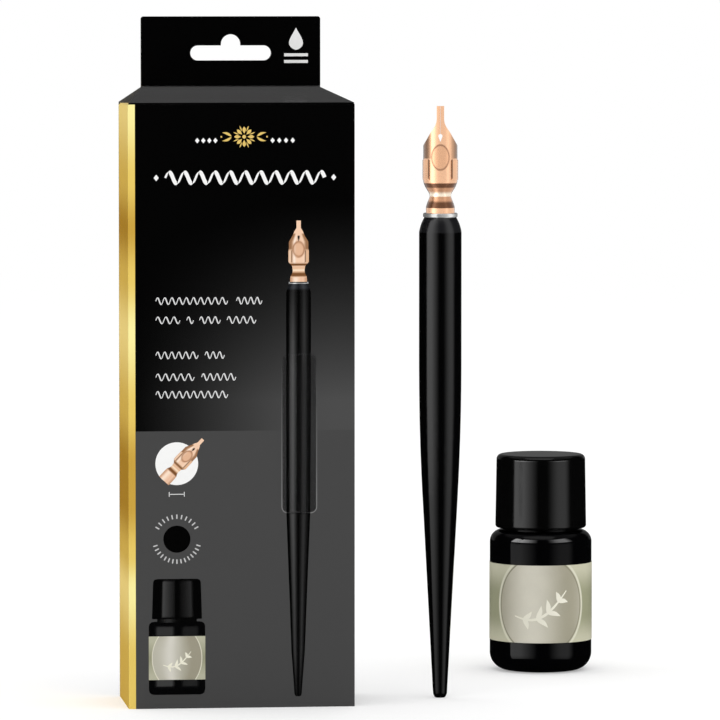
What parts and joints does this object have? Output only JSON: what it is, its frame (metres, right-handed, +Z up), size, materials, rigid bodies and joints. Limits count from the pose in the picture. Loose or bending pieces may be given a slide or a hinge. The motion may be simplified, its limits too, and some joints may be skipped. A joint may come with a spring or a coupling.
{
  "type": "dip pen set",
  "caption": "Dip pen set: a hang-tab carton with a card fitment, a dip pen with a broad nib and a slip-on reservoir, and a screw-cap bottle of black ink.",
  "frame": {"origin": "on the table, at the middle of the rectangle that the carton, pen and bottle stand in", "axes": "+Z up, the carton's printed front faces -Y, +X to the right from the carton towards the bottle"},
  "size_m": [0.1528, 0.1121, 0.2051],
  "materials": {
    "black_board": "printed black and sealed with a satin varnish",
    "gold_board": "printed with a metallic gold, satin",
    "white_board": "uncoated inside face",
    "clear_film": "clear glossy film",
    "black_lacquer": "moulded black, glossy",
    "satin_black": "moulded black, satin",
    "silver_plate": "nickel plated, bright",
    "spring_steel": "plain spring steel",
    "bronze_plate": "copper bronze plated, bright",
    "bronze_sheet": "copper bronze plated, bright",
    "dark_glass": "dark smoked, polished",
    "black_ink": "liquid, glossy",
    "label_paper": "printed cream paper, satin",
    "cap_plastic": "moulded black, semi-gloss",
    "liner_foam": "closed-cell foam, matt"
  },
  "bodies": {
    "carton": {"front_panel": "black_board", "left_side_panel": "gold_board", "right_side_panel": "black_board", "back_panel": "black_board", "hang_tab_doubler": "black_board", "glue_flap": "white_board", "base_front_flap": "black_board", "base_rear_flap": "white_board", "base_side_flap_left": "white_board", "base_side_flap_right": "white_board", "card_fitment": "white_board", "clear_patch": "clear_film"},
    "top_flap": {"top_flap": "black_board"},
    "tuck_flap": {"tuck_flap": "black_board"},
    "dust_flap_left": {"dust_flap_left": "gold_board"},
    "dust_flap_right": {"dust_flap_right": "black_board"},
    "holder": {"pen_holder": "black_lacquer", "collar": "satin_black", "ferrule": "silver_plate", "nib_clip": "spring_steel"},
    "nib": {"nib": "bronze_plate"},
    "reservoir": {"reservoir": "bronze_sheet"},
    "bottle": {"bottle_glass": "dark_glass", "ink": "black_ink", "bottle_label": "label_paper"},
    "cap_lift": {"cap_liner": "liner_foam"},
    "cap": {"cap_shell": "cap_plastic"}
  },
  "joints": [
    {"name": "top_flap_crease", "type": "hinge", "parent": "carton", "child": "top_flap", "pos_m": [-0.04266, -0.05595, 0.1795], "axis": [1, 0, 0], "range_deg": [0, 135]},
    {"name": "tuck_crease", "type": "hinge", "parent": "top_flap", "child": "tuck_flap", "pos_m": [-0.04266, -0.0223, 0.1839], "axis": [1, 0, 0], "range_deg": [0, 35.2]},
    {"name": "left_dust_crease", "type": "hinge", "parent": "carton", "child": "dust_flap_left", "pos_m": [-0.07641, -0.03845, 0.1788], "axis": [0, -1, 0], "range_deg": [0, 95]},
    {"name": "right_dust_crease", "type": "hinge", "parent": "carton", "child": "dust_flap_right", "pos_m": [-0.00891, -0.03845, 0.1788], "axis": [0, 1, 0], "range_deg": [0, 95]},
    {"name": "pen_lift", "type": "slide", "parent": "carton", "child": "holder", "axis": [0, 0, 1], "range_m": [0, 0.1]},
    {"name": "nib_pull", "type": "slide", "parent": "holder", "child": "nib", "axis": [0, 0, 1], "range_m": [0, 0.012]},
    {"name": "reservoir_pull", "type": "slide", "parent": "nib", "child": "reservoir", "axis": [0, 0, 1], "range_m": [0, 0.024]},
    {"name": "bottle_lift", "type": "slide", "parent": "carton", "child": "bottle", "axis": [0, 0, 1], "range_m": [0, 0.08]},
    {"name": "cap_rise", "type": "slide", "parent": "bottle", "child": "cap_lift", "axis": [0, 0, 1], "range_m": [0, 0.0053]},
    {"name": "cap_turn", "type": "hinge", "parent": "cap_lift", "child": "cap", "pos_m": [0.06039, 0.04005, 0.0446], "axis": [0, 0, 1], "range_deg": [0, 540]}
  ],
  "couplings": [
    {"joint": "tuck_crease", "follows": "top_flap_crease", "ratio": 0.26},
    {"joint": "left_dust_crease", "follows": "top_flap_crease", "ratio": 0.7},
    {"joint": "right_dust_crease", "follows": "top_flap_crease", "ratio": 0.7},
    {"joint": "cap_rise", "follows": "cap_turn", "m_per_rad": 0.00055704}
  ]
}
